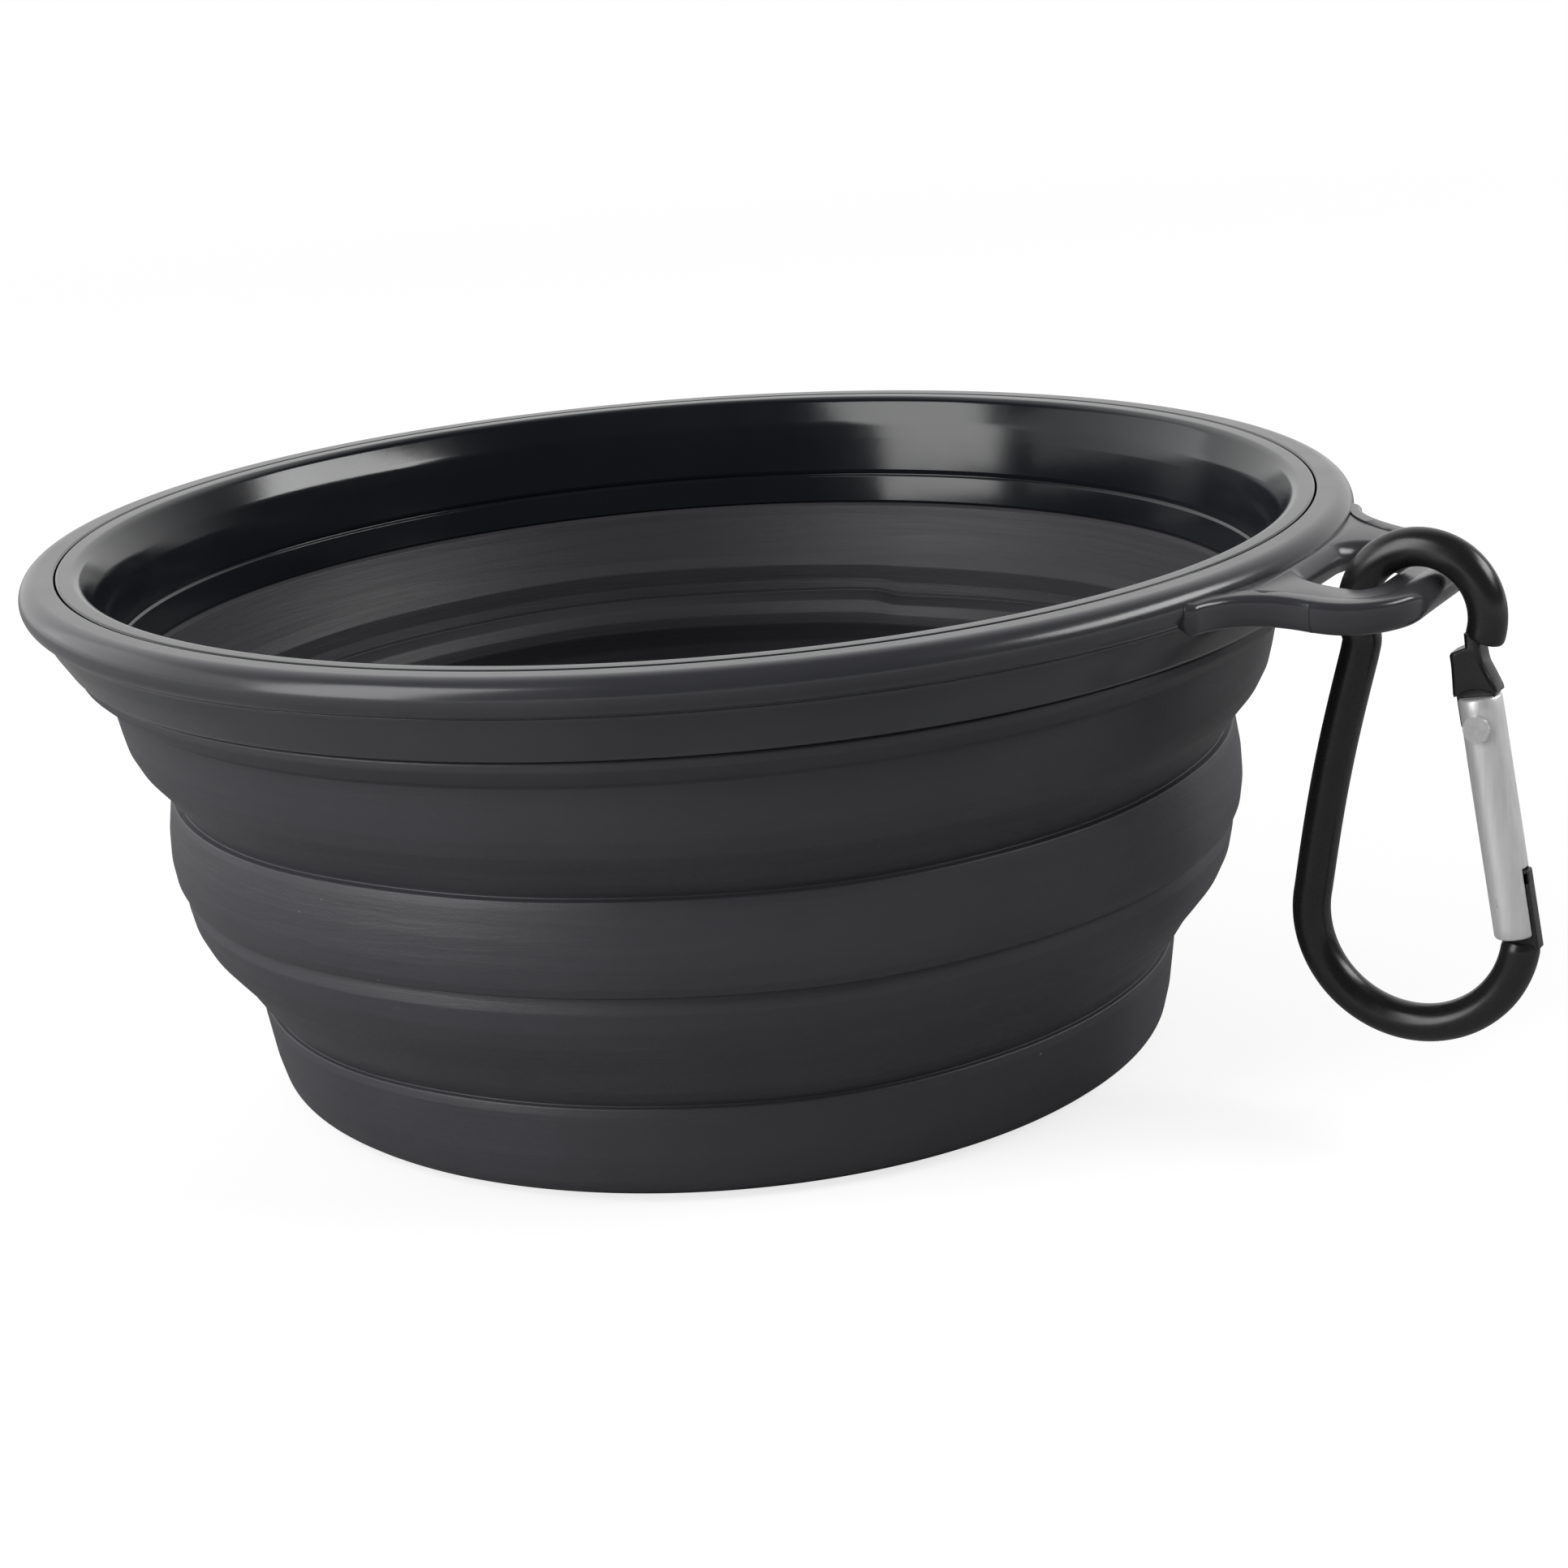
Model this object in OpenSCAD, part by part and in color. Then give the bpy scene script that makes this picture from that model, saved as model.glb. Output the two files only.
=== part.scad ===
// A collapsible bowl: a soft wall with two folds, held by a two-piece hard rim,
// with a hang tab and a small spring-gate clip. The base stands on z = 0, and the tab points along +X.

/* [Bowl] */
// Diameter over the rim's bead
rim_d = 130; // [122:1:138]
// Height from the underside of the base to the rim's top face
bowl_h = 54.4; // [53:0.2:58]
// Diameter of the base
base_d = 90.8; // [84:0.4:94]
// Thickness of the soft wall
wall_t = 1.9; // [1.6:0.1:2.3]
// Thickness of the base's floor
floor_t = 2.2; // [1.6:0.1:3]
// Rounding where the base turns up into the wall
base_corner_r = 3; // [2.6:0.1:4]

/* [Rim] */
// Width of the outer ring's top face, bead included
ring_face_w = 3.5; // [3.2:0.1:4]
// Width of the collar's top face
collar_face_w = 3.2; // [2.8:0.1:3.6]
// Height of the half-round bead
bead_h = 3.6; // [3:0.1:4]
// Height of the outer ring
ring_h = 8; // [7.4:0.1:8.6]
// Radial thickness of the outer ring's skirt
ring_t = 1.6; // [1.3:0.1:1.8]
// How far the skirt draws in below the bead
skirt_top_in = 1.6; // [1.4:0.1:1.9]
// How far the skirt's lower edge lies inside the bead
skirt_end_in = 4; // [3.7:0.1:4.3]
// Depth of the collar's wall
collar_h = 8.2; // [7.8:0.1:8.6]
// How far the collar's wall draws in over its depth
collar_taper = 1.1; // [0.8:0.1:1.3]
// Thickness of the collar's wall
collar_wall_t = 1.3; // [1:0.1:1.5]
// Thickness of the collar's top flange
collar_flange_t = 2.2; // [1.8:0.1:2.6]
// Size of the broad rounding at the collar's mouth
collar_round = 2; // [1.6:0.1:2.4]
// Depth of the thinner lip below the collar's wall
collar_lip_h = 3.4; // [3:0.1:3.8]
// How far the lip draws in over its depth
collar_lip_in = 1; // [0.8:0.1:1.2]
// Thickness of the lip's lower edge
collar_lip_t = 0.6; // [0.5:0.1:0.8]

/* [Soft wall] */
// Height of the cup that forms the base, as a share of the height below the rim
cup_share = 0.205; // [0.18:0.005:0.23]
// How much wider the cup is at its top than at the base
cup_flare = 0.6; // [0.3:0.1:1]
// Height of the lower fold, as a share of the height below the rim
lower_fold_share = 0.2; // [0.18:0.005:0.22]
// Height of the middle band, as a share of the height below the rim
band_share = 0.272; // [0.25:0.002:0.29]
// How far the middle band bulges
band_bulge = 0.9; // [0.6:0.1:1.2]
// Height of the upper fold, as a share of the height below the rim
upper_fold_share = 0.142; // [0.13:0.002:0.16]
// How far the cuff's lower end lies inside the bead
cuff_in = 8.4; // [8:0.1:9]
// Gap between the middle band and the cuff when the bowl is folded
nest_gap = 1.1; // [0.8:0.1:1.5]

/* [Hang tab] */
// How far the tab stands out from the bead
tab_reach = 13; // [12:0.5:15]
// Half the width of the tab
tab_half_w = 14.8; // [13.5:0.1:16]
// Thickness of the tab, half-round at its edges
tab_t = 3; // [2.6:0.1:3.2]
// Depth of the tab's top below the rim's top face
tab_drop = 2.4; // [2.2:0.1:2.8]
// Corner radius of the tab
tab_corner_r = 8; // [7:0.1:9]
// Radius of the flare where the tab's sides run into the bead
tab_flare_r = 6; // [4:0.1:7]
// How far the tab's faces lie below its rounded border
tab_web_in = 0.15; // [0.1:0.05:0.4]
// Width of the bar outside the slot
tab_bar_w = 5.4; // [5:0.1:5.6]
// Width of the slot, along the tab
slot_w = 6.3; // [6:0.1:6.6]
// Length of the slot, across the tab
slot_l = 14.5; // [13.5:0.5:16]

/* [Clip] */
// Diameter of the clip's rod
rod_d = 3.5; // [3.2:0.1:3.6]
// Centreline radius of the narrow end
arch_r = 6; // [5.9:0.1:6.4]
// How far the straight sides run inside the narrow end's circle
pinch = 1.2; // [0.9:0.1:1.4]
// Centreline radius of the wide end
bend_r = 9.9; // [9:0.1:10.5]
// Distance between the centres of the two ends
ends_l = 28.7; // [27:0.1:31]
// Angle at which the clip hangs, its lower end towards the bowl
lean = 2; // [0:0.5:4]
// How far the gate's line lies inside the straight side
gate_in = 0.65; // [0.4:0.05:0.8]
// Diameter of the gate
gate_d = 3.9; // [3.8:0.05:4.2]
// Place of the gate's pivot, as a share of the straight side
pivot_share = 0.366; // [0.34:0.002:0.38]
// Length of the gate above its pivot
gate_above = 2.6; // [2.4:0.1:2.8]
// How far the gate's lower end runs past the straight side
gate_past = 1.8; // [1.2:0.1:2.2]
// Thickness of the lug and of the latch blade
lug_t = 1.5; // [1.3:0.1:1.6]
// Diameter of the pivot rivet
rivet_d = 1.4; // [1.2:0.1:1.6]
// Diameter of the latch pin
latch_pin_d = 1; // [0.8:0.1:1.2]
// Diameter of the bore that holds the spring
spring_bore_d = 2.4; // [2.2:0.1:2.5]

/* [Hidden] */
$fn = 144;

// Clearances and the overrun of cuts
fit_gap = 0.1;
seam_gap = 0.15;
swing_gap = 0.15;
running_gap = 0.06;
blade_gap = 0.15;
cut_over = 1;

// Heights of the rim
ring_end_z = bowl_h - ring_h;
collar_end_z = bowl_h - collar_h;
lip_end_z = collar_end_z - collar_lip_h;
bead_r = bead_h / 2;
flange_under_z = bowl_h - collar_flange_t;

// Radii of the rim
rim_r = rim_d / 2;
seam_r = rim_r - ring_face_w;
mouth_r = seam_r - collar_face_w;
skirt_end_r = rim_r - skirt_end_in;
skirt_top_r = rim_r - skirt_top_in;
skirt_top_z = bowl_h - bead_h;
collar_end_r = mouth_r - collar_taper;
lip_end_r = collar_end_r - collar_lip_in;
// Each row is [share of the rounding's size outwards from the mouth, share down from the top]
collar_round_shares = [[0.5, 0], [0.05, 0.2], [-0.28, 0.75], [-0.4, 1.4]];
// Share of the skirt's height at which its inner side meets the seam's radius
inner_meet_share = (seam_r - skirt_end_r + ring_t) / (skirt_top_r - skirt_end_r);
inner_meet_z = ring_end_z + inner_meet_share * (skirt_top_z - ring_end_z);

// Heights and radii of the soft wall
cup_h = cup_share * ring_end_z;
lower_fold_h = lower_fold_share * ring_end_z;
band_h = band_share * ring_end_z;
upper_fold_h = upper_fold_share * ring_end_z;
band_z = cup_h + lower_fold_h;
upper_fold_z = band_z + band_h;
cuff_z = upper_fold_z + upper_fold_h;
base_r = base_d / 2;
cup_top_r = base_r + cup_flare;
cuff_end_r = rim_r - cuff_in;
band_top_r = cuff_end_r - wall_t - band_bulge - nest_gap;

// Each row is [share of the height down from the top, share of the step in or of the bulge out]
upper_fold_shares = [[0, 0], [0.15, 0.08], [0.52, 0.56], [0.82, 0.85], [1, 1]];
lower_fold_shares = [[0, 0], [0.19, 0.12], [0.52, 0.52], [0.8, 0.78], [1, 1]];
band_shares = [[0, 0], [0.06, 0.33], [0.31, 1], [0.47, 1], [0.66, 0.55], [0.72, -0.1], [0.83, -0.3],
    [1, -0.78]];
band_end_r = band_top_r + band_shares[len(band_shares) - 1][1] * band_bulge;

// The cuff below the rim: a ridge, then a step in on both faces, whose inner ledge carries the collar's lip
ridge_in = 0.7;
ridge_h = 0.7;
cuff_step_out = 1;
cuff_ledge_h = 0.4;
cuff_inner_rise = 0.5;

// The tab
tab_tip_x = rim_r + tab_reach;
tab_edge_r = tab_t / 2;
tab_mid_z = bowl_h - tab_drop - tab_edge_r;
tab_corner_x = tab_tip_x - tab_corner_r;
tab_corner_y = tab_half_w - tab_corner_r;
tab_root_x = rim_r - skirt_top_in - tab_edge_r;
flare_y = tab_half_w + tab_flare_r;
flare_x = sqrt((rim_r + tab_flare_r) * (rim_r + tab_flare_r) - flare_y * flare_y);
flare_angle = atan2(flare_y, flare_x);
slot_end_x = tab_tip_x - tab_bar_w;
slot_r = slot_w / 2;
bar_x = tab_tip_x - tab_bar_w / 2;

// The clip's own plane: x outwards, y up, origin at the centre of the narrow end
rod_r = rod_d / 2;
arch_inner_r = arch_r - rod_r;
bar_half_flat = tab_bar_w / 2 - tab_edge_r;
bar_reach = arch_inner_r - swing_gap - tab_edge_r;
arch_below = sqrt(bar_reach * bar_reach - bar_half_flat * bar_half_flat);
arch_z = tab_mid_z - arch_below;
side_r = arch_r - pinch;
side_angle = asin((bend_r - side_r) / ends_l);
side_l = sqrt(ends_l * ends_l - (bend_r - side_r) * (bend_r - side_r));
// The spine meets the narrow end in an elbow, where both run on to fill its corner
elbow_turn = acos(side_r / arch_r);
elbow_s = sqrt(arch_r * arch_r - side_r * side_r);
elbow_over = 0.9 * rod_r * tan(elbow_turn / 2);
pivot_s = pivot_share * side_l;
gate_end_s = side_l + gate_past;
gate_below = gate_end_s - pivot_s;
// How much thinner the straight lengths are than the bends, and how far they run into them
drawn_in = 0.05;
run_in = 0.5;

// The gate and its hinge
nose_angle = 18;
neck_w = 2.9;
neck_t = 2.8;
neck_shift = 0.4;
neck_inner_x = side_r - gate_in - neck_shift - neck_w / 2;
neck_s = sqrt(arch_inner_r * arch_inner_r - neck_inner_x * neck_inner_x);
neck_up = 1.7;
neck_flat_outer = 1.2;
neck_flat_inner = 0.8;
stalk_in = 0.3;
shoulder_w = 4.1;
gate_r = gate_d / 2;
lug_r = gate_r + fit_gap / 2;
lug_flat = 1.55;
hinge_relief_r = sqrt(gate_r * gate_r + gate_above * gate_above) + fit_gap;
fork_below = 2.8;
slot_t = lug_t + 2 * blade_gap;
end_gap = 0.25;
blade_l = 6.4;
blade_in = 0.3;
blade_out = 2.2;
barb_h = 1.3;
barb_in = 0.9;
latch_pin_up = 3.6;
latch_pin_below = gate_below - latch_pin_up;
latch_pin_in = 0.45;
rivet_head_d = 2.4;
rivet_head_t = 0.4;

// The spring and the plunger inside the gate
plunger_gap = 0.05;
plunger_l = 2.5;
plunger_d = spring_bore_d - 2 * running_gap;
spring_end_up = 7.2;
spring_end_below = gate_below - spring_end_up;
spring_wire_d = 0.36;
spring_turns = 6;
spring_seat = 0.02;
ring_steps = 8;
wire_sides = 6;

function profile(radius, top_z, height, reach, shares) =
    [for (s = shares) [radius + s[1] * reach, top_z - s[0] * height]];
function reversed(points) = [for (i = [len(points) - 1:-1:0]) points[i]];
function moved_in(points, by) = [for (p = points) [p[0] - by, p[1]]];

// A ring of soft wall: the outer profile, and the same profile one wall thickness further in
module wall_ring(points) {
    rotate_extrude()
        polygon(concat(points, reversed(moved_in(points, wall_t))));
}

module rim_outer_ring() {
    color("dimgray")
        difference() {
            union() {
                rotate_extrude() {
                    translate([rim_r - bead_r, bowl_h - bead_r])
                        circle(r = bead_r, $fn = 64);
                    polygon([
                        [seam_r, bowl_h],
                        [rim_r - bead_r, bowl_h],
                        [rim_r - bead_r, skirt_top_z],
                        [skirt_top_r, skirt_top_z],
                        [skirt_end_r, ring_end_z],
                        [skirt_end_r - ring_t, ring_end_z],
                        [seam_r, inner_meet_z]
                    ]);
                }
                hang_tab();
            }
            tab_slot();
        }
}

// The tab is a plate with a half-round border, and its slot has a half-round outer edge
module hang_tab() {
    translate([0, 0, tab_mid_z - tab_edge_r + tab_web_in])
        difference() {
            linear_extrude(tab_t - 2 * tab_web_in) {
                for (side = [-1, 1])
                    translate([tab_corner_x, side * tab_corner_y])
                        circle(r = tab_corner_r - tab_edge_r, $fn = 96);
                polygon([
                    [tab_root_x, -tab_half_w + tab_edge_r],
                    [tab_corner_x, -tab_half_w + tab_edge_r],
                    [tab_corner_x, tab_half_w - tab_edge_r],
                    [tab_root_x, tab_half_w - tab_edge_r]
                ]);
                polygon([
                    [tab_corner_x, -tab_corner_y],
                    [tab_tip_x - tab_edge_r, -tab_corner_y],
                    [tab_tip_x - tab_edge_r, tab_corner_y],
                    [tab_corner_x, tab_corner_y]
                ]);
                for (side = [-1, 1])
                    flare_plate(side);
            }
            translate([0, 0, -cut_over])
                cylinder(r = tab_root_x, h = tab_t + 2 * cut_over);
        }
    difference() {
        tab_border();
        translate([0, 0, tab_mid_z - tab_t])
            cylinder(r = tab_root_x, h = 2 * tab_t);
    }
}

// The part of the plate between the tab's side and the bead, hollowed by the flare's circle
module flare_plate(side) {
    difference() {
        polygon([
            [tab_root_x * cos(flare_angle), side * tab_root_x * sin(flare_angle)],
            [rim_r * cos(flare_angle), side * rim_r * sin(flare_angle)],
            [flare_x, side * (tab_half_w - tab_edge_r / 2)],
            [flare_x, side * tab_corner_y],
            [tab_root_x, side * tab_corner_y]
        ]);
        translate([flare_x, side * flare_y])
            circle(r = tab_flare_r + tab_edge_r / 2, $fn = 96);
    }
}

module tab_border() {
    translate([0, 0, tab_mid_z]) {
        for (side = [-1, 1]) {
            translate([tab_corner_x, side * tab_corner_y, 0])
                rotate([0, 0, side > 0 ? 0 : -90])
                    rotate_extrude(angle = 90)
                        translate([tab_corner_r - tab_edge_r, 0])
                            circle(r = tab_edge_r, $fn = 48);
            translate([tab_corner_x, side * (tab_half_w - tab_edge_r), 0])
                rotate([0, -90, 0])
                    cylinder(r = tab_edge_r, h = tab_corner_x - tab_root_x + tab_edge_r, $fn = 48);
        }
        translate([tab_tip_x - tab_edge_r, tab_corner_y, 0])
            rotate([90, 0, 0])
                cylinder(r = tab_edge_r, h = 2 * tab_corner_y, $fn = 48);
    }
}

module tab_slot() {
    difference() {
        translate([0, 0, tab_mid_z - tab_t])
            linear_extrude(2 * tab_t) {
                for (side = [-1, 1])
                    translate([slot_end_x - slot_r, side * (slot_l / 2 - slot_r)])
                        circle(r = slot_r, $fn = 64);
                translate([slot_end_x - slot_w, -slot_l / 2 + slot_r])
                    square([slot_w + tab_edge_r, slot_l - slot_w]);
            }
        translate([slot_end_x + tab_edge_r, slot_l / 2, tab_mid_z])
            rotate([90, 0, 0])
                cylinder(r = tab_edge_r, h = slot_l, $fn = 48);
    }
}

module collar_ring() {
    color([0.09, 0.1, 0.12])
        rotate_extrude()
            polygon(concat([
                [seam_r - seam_gap, bowl_h],
                [seam_r - seam_gap, flange_under_z],
                [mouth_r + collar_wall_t, flange_under_z],
                [collar_end_r + collar_wall_t, collar_end_z],
                [lip_end_r + collar_lip_t, lip_end_z],
                [lip_end_r, lip_end_z],
                [collar_end_r, collar_end_z]
            ], [
                for (i = [len(collar_round_shares) - 1:-1:0]) [
                    mouth_r + collar_round_shares[i][0] * collar_round,
                    bowl_h - collar_round_shares[i][1] * collar_round
                ]
            ]));
}

// The cuff's flange is clamped between the collar and the outer ring, and its shoulder lies under both
module upper_cuff() {
    shoulder_z = min(ring_end_z, collar_end_z) - fit_gap;
    seat_z = lip_end_z - fit_gap;
    step_z = seat_z - cuff_ledge_h;
    color("darkslategray")
        rotate_extrude()
            polygon([
                [seam_r - fit_gap, flange_under_z - fit_gap],
                [seam_r - fit_gap, inner_meet_z],
                [skirt_end_r - ring_t - fit_gap, ring_end_z],
                [skirt_end_r - ring_t - fit_gap, shoulder_z],
                [skirt_end_r - ridge_in, shoulder_z],
                [skirt_end_r - ridge_in, shoulder_z - ridge_h],
                [cuff_end_r + cuff_step_out, step_z],
                [cuff_end_r, cuff_z],
                [cuff_end_r - wall_t, cuff_z],
                [cuff_end_r - wall_t + cuff_inner_rise, step_z],
                [lip_end_r - fit_gap, seat_z],
                [lip_end_r + collar_lip_t + fit_gap, seat_z],
                [collar_end_r + collar_wall_t + fit_gap, collar_end_z],
                [mouth_r + collar_wall_t + fit_gap, flange_under_z - fit_gap]
            ]);
}

module upper_fold() {
    color("slategray")
        wall_ring(profile(cuff_end_r, cuff_z, upper_fold_h, band_top_r - cuff_end_r, upper_fold_shares));
}

module middle_band() {
    color("darkslategray")
        wall_ring(profile(band_top_r, upper_fold_z, band_h, band_bulge, band_shares));
}

module lower_fold() {
    color("slategray")
        wall_ring(profile(band_end_r, band_z, lower_fold_h, cup_top_r - band_end_r, lower_fold_shares));
}

module base_cup() {
    inner_r = base_r - wall_t;
    inner_corner_r = base_corner_r - wall_t;
    color("darkslategray")
        rotate_extrude()
            difference() {
                union() {
                    polygon([
                        [0, 0],
                        [base_r - base_corner_r, 0],
                        [base_r - base_corner_r, base_corner_r],
                        [base_r, base_corner_r],
                        [cup_top_r, cup_h],
                        [0, cup_h]
                    ]);
                    translate([base_r - base_corner_r, base_corner_r])
                        circle(r = base_corner_r, $fn = 64);
                }
                polygon([
                    [-cut_over, floor_t],
                    [inner_r - inner_corner_r, floor_t],
                    [inner_r, floor_t + inner_corner_r],
                    [cup_top_r - wall_t, cup_h],
                    [cup_top_r - wall_t, cup_h + cut_over],
                    [-cut_over, cup_h + cut_over]
                ]);
                translate([-base_r - cut_over, -cut_over])
                    square([base_r + cut_over, cup_h + 2 * cut_over]);
            }
}

// Places a piece drawn in the clip's own plane
module hang() {
    translate([bar_x, 0, arch_z])
        rotate([0, lean, 0])
            rotate([90, 0, 0])
                children();
}

// Along a straight side: x outwards, y up towards the narrow end, origin at a distance s down the side.
// A side of -1 gives the spine's side, with x inwards.
module at_side(s, side = 1) {
    translate([
        side * (side_r * cos(side_angle) + s * sin(side_angle)),
        side_r * sin(side_angle) - s * cos(side_angle),
        0
    ])
        rotate([0, 0, side * side_angle])
            children();
}

// The same along the gate's own line, which lies a little inside the straight side
module at_gate(s) {
    at_side(s)
        translate([-gate_in, 0, 0])
            children();
}

// A round bar along a side, from the place where it stands downwards
module down_rod(radius, length) {
    rotate([90, 0, 0])
        cylinder(r = radius, h = length, $fn = 48);
}

module carabiner_body() {
    color([0.07, 0.07, 0.08])
        hang() {
            clip_rod();
            difference() {
                at_gate(neck_s)
                    linear_extrude(neck_t, center = true)
                        polygon([
                            [-neck_w / 2 - neck_shift, 0],
                            [-stalk_in, 0],
                            [-stalk_in, neck_up],
                            [neck_w / 2 - neck_shift, neck_up],
                            [neck_w / 2 - neck_shift, -neck_flat_outer],
                            [shoulder_w / 2, -pivot_s + neck_s + gate_above],
                            [-shoulder_w / 2 - fit_gap, -pivot_s + neck_s + gate_above],
                            [-neck_w / 2 - neck_shift, -neck_flat_inner]
                        ]);
                at_gate(pivot_s)
                    cylinder(r = hinge_relief_r, h = rod_d + cut_over, center = true);
            }
            lug();
            latch_blade();
        }
}

// The bent rod, from the nose over the narrow end, down the spine and round to the latch.
// Its straight lengths are drawn a little thinner than its bends, and run into them.
module clip_rod() {
    straight_r = rod_r - drawn_in;
    arch_over = elbow_over / arch_r * 180 / PI;
    rotate([0, 0, -nose_angle])
        rotate_extrude(angle = 180 + nose_angle + elbow_turn - side_angle + arch_over)
            translate([arch_r, 0])
                circle(r = rod_r, $fn = 48);
    at_side(elbow_s - elbow_over, -1)
        down_rod(straight_r, side_l - elbow_s + elbow_over + run_in);
    difference() {
        translate([0, -ends_l, 0])
            rotate([0, 0, 180 - side_angle])
                rotate_extrude(angle = 180 + 2 * side_angle)
                    translate([bend_r, 0])
                        circle(r = rod_r, $fn = 48);
        at_side(gate_end_s + end_gap)
            translate([-rod_d, 0, -rod_d])
                cube([2 * rod_d, 2 * rod_d, 2 * rod_d]);
    }
}

// The lug that enters the gate's fork, round about the pivot with a flat for the plunger
module lug() {
    difference() {
        at_gate(pivot_s)
            intersection() {
                union() {
                    cylinder(r = lug_r, h = lug_t, center = true);
                    translate([-lug_r, 0, -lug_t / 2])
                        cube([2 * lug_r, hinge_relief_r + fit_gap, lug_t]);
                }
                translate([-gate_d, -lug_flat, -lug_t])
                    cube([2 * gate_d, 3 * gate_d, 2 * lug_t]);
            }
        at_gate(pivot_s)
            cylinder(r = rivet_d / 2, h = 2 * lug_t, center = true, $fn = 48);
    }
}

// The blade stands up from the rod's lower end and hooks over the latch pin
module latch_blade() {
    at_gate(gate_end_s + end_gap)
        translate([0, 0, -lug_t / 2]) {
            translate([blade_in, -rod_r, 0])
                cube([blade_out - blade_in - fit_gap, blade_l + rod_r, lug_t]);
            translate([-barb_in, blade_l - barb_h, 0])
                cube([blade_out - fit_gap + barb_in, barb_h, lug_t]);
        }
}

module carabiner_gate() {
    color("silver")
        hang()
            difference() {
                at_gate(pivot_s - gate_above)
                    down_rod(gate_r, gate_above + gate_below);
                at_gate(pivot_s)
                    translate([-gate_d, -fork_below, -slot_t / 2])
                        cube([2 * gate_d, fork_below + gate_above + cut_over, slot_t]);
                at_gate(pivot_s)
                    cylinder(r = rivet_d / 2 + running_gap, h = 2 * gate_d, center = true, $fn = 48);
                at_gate(pivot_s + lug_flat)
                    down_rod(spring_bore_d / 2, spring_end_below - lug_flat);
                at_gate(gate_end_s + end_gap)
                    translate([-barb_in - blade_gap, -cut_over, -slot_t / 2])
                        cube([2 * gate_d, blade_l + 2 * blade_gap + cut_over, slot_t]);
                at_gate(pivot_s + latch_pin_below)
                    translate([-latch_pin_in, 0, 0])
                        cylinder(r = latch_pin_d / 2, h = 2 * gate_d, center = true, $fn = 48);
            }
}

module gate_rivet() {
    head_z = gate_r + running_gap;
    color("gainsboro")
        hang()
            at_gate(pivot_s) {
                cylinder(r = rivet_d / 2, h = 2 * head_z, center = true, $fn = 48);
                for (side = [-1, 1])
                    translate([0, 0, side > 0 ? head_z : -head_z - rivet_head_t])
                        cylinder(r = rivet_head_d / 2, h = rivet_head_t, $fn = 48);
            }
}

// The pin crosses the slot in the gate's lower end and reaches the gate's round side
module latch_pin() {
    pin_l = 2 * sqrt(gate_r * gate_r - latch_pin_in * latch_pin_in) - fit_gap;
    color("gainsboro")
        hang()
            at_gate(pivot_s + latch_pin_below)
                translate([-latch_pin_in, 0, 0])
                    cylinder(r = latch_pin_d / 2, h = pin_l, center = true, $fn = 48);
}

module spring_plunger() {
    color("silver")
        hang()
            at_gate(pivot_s + lug_flat + plunger_gap)
                down_rod(plunger_d / 2, plunger_l);
}

// The spring is one unbroken wire wound from the plunger's back to the bore's end
spring_top = lug_flat + plunger_gap + plunger_l + spring_seat + spring_wire_d / 2;
spring_len = spring_end_below - spring_seat - spring_wire_d / 2 - spring_top;
spring_r = spring_bore_d / 2 - running_gap - spring_wire_d / 2;
spring_steps = spring_turns * ring_steps;

function wire_ring(i) = [
    for (k = [0:wire_sides - 1])
        let (
            turn = i * 360 / ring_steps,
            around = k * 360 / wire_sides,
            out = spring_r + cos(around) * spring_wire_d / 2
        )
        [
            out * cos(turn),
            -spring_len * i / spring_steps + sin(around) * spring_wire_d / 2,
            -out * sin(turn)
        ]
];

module gate_spring() {
    points = [for (i = [0:spring_steps]) each wire_ring(i)];
    sides = [
        for (i = [0:spring_steps - 1], k = [0:wire_sides - 1])
            let (
                a = i * wire_sides + k,
                b = i * wire_sides + (k + 1) % wire_sides
            )
            each [[a, b, b + wire_sides], [a, b + wire_sides, a + wire_sides]]
    ];
    first_end = [for (k = [1:wire_sides - 2]) [0, k + 1, k]];
    last = spring_steps * wire_sides;
    last_end = [for (k = [1:wire_sides - 2]) [last, last + k, last + k + 1]];
    color("gainsboro")
        hang()
            at_gate(pivot_s + spring_top)
                polyhedron(points = points, faces = concat(sides, first_end, last_end));
}

rim_outer_ring();
collar_ring();
upper_cuff();
upper_fold();
middle_band();
lower_fold();
base_cup();
carabiner_body();
carabiner_gate();
gate_rivet();
latch_pin();
spring_plunger();
gate_spring();
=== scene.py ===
import math

import bmesh
import bpy
from mathutils import Matrix, Vector
from mathutils.geometry import tessellate_polygon


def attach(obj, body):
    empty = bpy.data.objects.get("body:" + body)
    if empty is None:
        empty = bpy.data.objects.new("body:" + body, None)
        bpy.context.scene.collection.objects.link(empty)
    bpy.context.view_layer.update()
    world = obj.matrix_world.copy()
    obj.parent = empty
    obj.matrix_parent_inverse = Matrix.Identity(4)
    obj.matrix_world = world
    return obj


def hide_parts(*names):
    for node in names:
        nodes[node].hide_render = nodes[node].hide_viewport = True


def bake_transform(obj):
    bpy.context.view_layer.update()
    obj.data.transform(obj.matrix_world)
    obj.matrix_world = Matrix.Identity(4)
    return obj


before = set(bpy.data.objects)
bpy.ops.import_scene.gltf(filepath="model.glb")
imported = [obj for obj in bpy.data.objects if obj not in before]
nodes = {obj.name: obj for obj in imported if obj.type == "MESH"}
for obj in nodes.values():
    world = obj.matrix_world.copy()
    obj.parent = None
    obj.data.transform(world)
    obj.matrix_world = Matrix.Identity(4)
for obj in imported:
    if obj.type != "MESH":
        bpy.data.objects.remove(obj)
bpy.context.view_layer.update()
MM = 0.001
TAU = 2 * math.pi
TAB_TURN = math.radians(32)
CAMERA_RANGE_M = 0.34
FOCAL_PX, IMAGE_PX, SENSOR_MM = 4037, 1932, 36

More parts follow.
